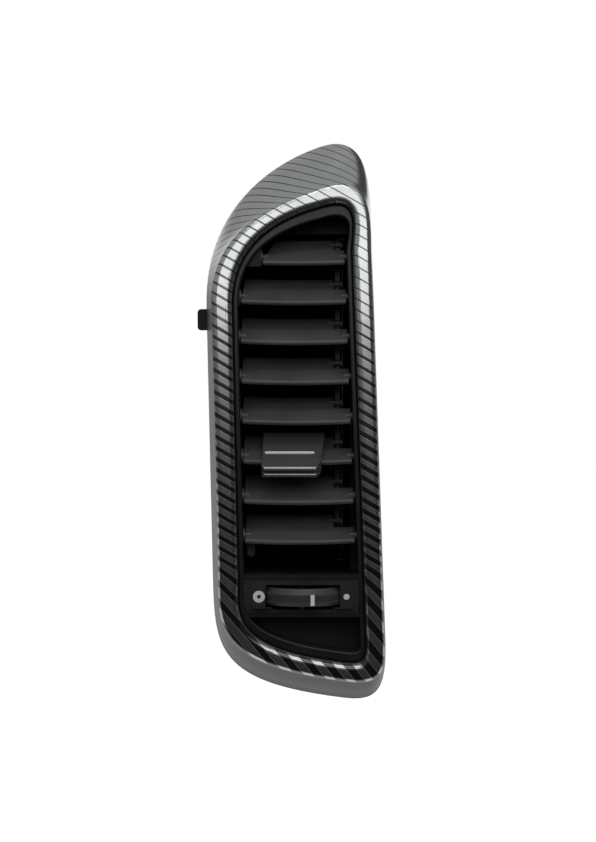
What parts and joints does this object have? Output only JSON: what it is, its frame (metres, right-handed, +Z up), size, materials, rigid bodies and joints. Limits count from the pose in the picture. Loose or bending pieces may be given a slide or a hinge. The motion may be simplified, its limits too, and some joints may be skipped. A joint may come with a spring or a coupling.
{
  "type": "dashboard air vent",
  "caption": "Tall D-shaped dashboard air vent with a wrapped trim bezel, tilting vanes and a thumb knob, steering vanes behind, and a thumbwheel that shuts its duct",
  "frame": {"origin": "middle of the two fixing holes, on the rear face of the housing's flange", "axes": "+X to the vent's right seen from the cabin, +Y back into the dashboard, +Z up along the vent"},
  "size_m": [0.0779, 0.1059, 0.2294],
  "materials": {
    "carbon_film": "glossy film with diagonal weave stripes",
    "frame_black": "fine satin grain",
    "vane_black": "satin",
    "knob_black": "glossy",
    "silver": "satin silver",
    "white_mark": "printed white",
    "nylon": "natural nylon",
    "housing_black": "moulded",
    "foam": "open foam",
    "felt": "felt",
    "steel": "zinc plated"
  },
  "bodies": {
    "case": {"trim_bezel": "carbon_film", "front_frame": "frame_black", "pivot_bushes": "nylon", "control_panel": "frame_black", "open_mark": "white_mark", "closed_mark": "white_mark", "housing": "housing_black", "housing_top_cover": "housing_black", "foam_gasket": "foam", "frame_screws": "steel", "cover_screws": "steel", "wheel_axle": "steel"},
    "vane_1_body": {"vane_1": "vane_black"},
    "vane_2_body": {"vane_2": "vane_black"},
    "vane_3_body": {"vane_3": "vane_black"},
    "vane_4_body": {"vane_4": "vane_black"},
    "vane_5_body": {"vane_5": "vane_black"},
    "vane_6_body": {"vane_6": "vane_black"},
    "vane_7_body": {"vane_7": "vane_black"},
    "vane_8_body": {"vane_8": "vane_black"},
    "vane_link_body": {"vane_link": "vane_black"},
    "knob_body": {"knob_upper": "knob_black", "knob_lower": "knob_black", "knob_line": "silver", "knob_pad": "felt"},
    "rear_vane_1_body": {"rear_vane_1": "vane_black"},
    "rear_vane_2_body": {"rear_vane_2": "vane_black"},
    "rear_vane_3_body": {"rear_vane_3": "vane_black"},
    "rear_vane_4_body": {"rear_vane_4": "vane_black"},
    "rear_vane_5_body": {"rear_vane_5": "vane_black"},
    "rear_link_body": {"rear_vane_link": "vane_black"},
    "wheel_body": {"thumbwheel": "vane_black", "wheel_pointer": "white_mark"},
    "flap_body": {"shutoff_flap": "housing_black", "flap_edge_seal": "foam", "flap_crank": "vane_black"},
    "rod_body": {"wheel_link_rod": "vane_black"}
  },
  "joints": [
    {"name": "vane_1_tilt", "type": "hinge", "parent": "case", "child": "vane_1_body", "pos_m": [0, -0.01329, 0.069], "axis": [1, 0, 0], "range_deg": [-56, 2]},
    {"name": "vane_2_tilt", "type": "hinge", "parent": "case", "child": "vane_2_body", "pos_m": [0, -0.01576, 0.0529], "axis": [1, 0, 0], "range_deg": [-56, 2]},
    {"name": "vane_3_tilt", "type": "hinge", "parent": "case", "child": "vane_3_body", "pos_m": [0, -0.01771, 0.0368], "axis": [1, 0, 0], "range_deg": [-56, 2]},
    {"name": "vane_4_tilt", "type": "hinge", "parent": "case", "child": "vane_4_body", "pos_m": [0, -0.01914, 0.0207], "axis": [1, 0, 0], "range_deg": [-56, 2]},
    {"name": "vane_5_tilt", "type": "hinge", "parent": "case", "child": "vane_5_body", "pos_m": [0, -0.02006, 0.0046], "axis": [1, 0, 0], "range_deg": [-56, 2]},
    {"name": "vane_6_tilt", "type": "hinge", "parent": "case", "child": "vane_6_body", "pos_m": [0, -0.02048, -0.0115], "axis": [1, 0, 0], "range_deg": [-56, 2]},
    {"name": "vane_7_tilt", "type": "hinge", "parent": "case", "child": "vane_7_body", "pos_m": [0, -0.02038, -0.0276], "axis": [1, 0, 0], "range_deg": [-56, 2]},
    {"name": "vane_8_tilt", "type": "hinge", "parent": "case", "child": "vane_8_body", "pos_m": [0, -0.01977, -0.0437], "axis": [1, 0, 0], "range_deg": [-56, 2]},
    {"name": "vane_link_pivot", "type": "hinge", "parent": "vane_6_body", "child": "vane_link_body", "pos_m": [0.0164, -0.01076, -0.00634], "axis": [1, 0, 0], "range_deg": [-2, 56]},
    {"name": "knob_slide", "type": "slide", "parent": "vane_6_body", "child": "knob_body", "axis": [1, 0, 0], "range_m": [-0.0035, 0.0035]},
    {"name": "rear_vane_1_turn", "type": "hinge", "parent": "case", "child": "rear_vane_1_body", "pos_m": [-0.017, 0.014, 0], "axis": [0, 0, 1], "range_deg": [-24.32, 24.32]},
    {"name": "rear_vane_2_turn", "type": "hinge", "parent": "case", "child": "rear_vane_2_body", "pos_m": [-0.009, 0.014, 0], "axis": [0, 0, 1], "range_deg": [-24.32, 24.32]},
    {"name": "rear_vane_3_turn", "type": "hinge", "parent": "case", "child": "rear_vane_3_body", "pos_m": [-0.001, 0.014, 0], "axis": [0, 0, 1], "range_deg": [-24.32, 24.32]},
    {"name": "rear_vane_4_turn", "type": "hinge", "parent": "case", "child": "rear_vane_4_body", "pos_m": [0.007, 0.014, 0], "axis": [0, 0, 1], "range_deg": [-24.32, 24.32]},
    {"name": "rear_vane_5_turn", "type": "hinge", "parent": "case", "child": "rear_vane_5_body", "pos_m": [0.015, 0.014, 0], "axis": [0, 0, 1], "range_deg": [-24.32, 24.32]},
    {"name": "rear_link_pivot", "type": "hinge", "parent": "rear_vane_3_body", "child": "rear_link_body", "pos_m": [-0.001, 0.019, -0.053], "axis": [0, 0, 1], "range_deg": [-24.32, 24.32]},
    {"name": "thumbwheel_turn", "type": "hinge", "parent": "case", "child": "wheel_body", "pos_m": [0.0023, -0.0104, 0], "axis": [0, 0, 1], "range_deg": [-57, 13]},
    {"name": "flap_turn", "type": "hinge", "parent": "case", "child": "flap_body", "pos_m": [-0.001, 0.045, 0], "axis": [0, 0, 1], "range_deg": [-57, 13]},
    {"name": "link_rod_pivot", "type": "hinge", "parent": "wheel_body", "child": "rod_body", "pos_m": [0.01404, -0.00791, -0.0631], "axis": [0, 0, 1], "range_deg": [-13, 57]}
  ],
  "couplings": [
    {"joint": "vane_1_tilt", "follows": "vane_6_tilt", "ratio": 1},
    {"joint": "vane_2_tilt", "follows": "vane_6_tilt", "ratio": 1},
    {"joint": "vane_3_tilt", "follows": "vane_6_tilt", "ratio": 1},
    {"joint": "vane_4_tilt", "follows": "vane_6_tilt", "ratio": 1},
    {"joint": "vane_5_tilt", "follows": "vane_6_tilt", "ratio": 1},
    {"joint": "vane_7_tilt", "follows": "vane_6_tilt", "ratio": 1},
    {"joint": "vane_8_tilt", "follows": "vane_6_tilt", "ratio": 1},
    {"joint": "vane_link_pivot", "follows": "vane_6_tilt", "ratio": -1},
    {"joint": "rear_vane_1_turn", "follows": "knob_slide", "rad_per_m": 121.25},
    {"joint": "rear_vane_2_turn", "follows": "knob_slide", "rad_per_m": 121.25},
    {"joint": "rear_vane_3_turn", "follows": "knob_slide", "rad_per_m": 121.25},
    {"joint": "rear_vane_4_turn", "follows": "knob_slide", "rad_per_m": 121.25},
    {"joint": "rear_vane_5_turn", "follows": "knob_slide", "rad_per_m": 121.25},
    {"joint": "rear_link_pivot", "follows": "knob_slide", "rad_per_m": -121.25},
    {"joint": "flap_turn", "follows": "thumbwheel_turn", "ratio": 1},
    {"joint": "link_rod_pivot", "follows": "thumbwheel_turn", "ratio": -1}
  ]
}
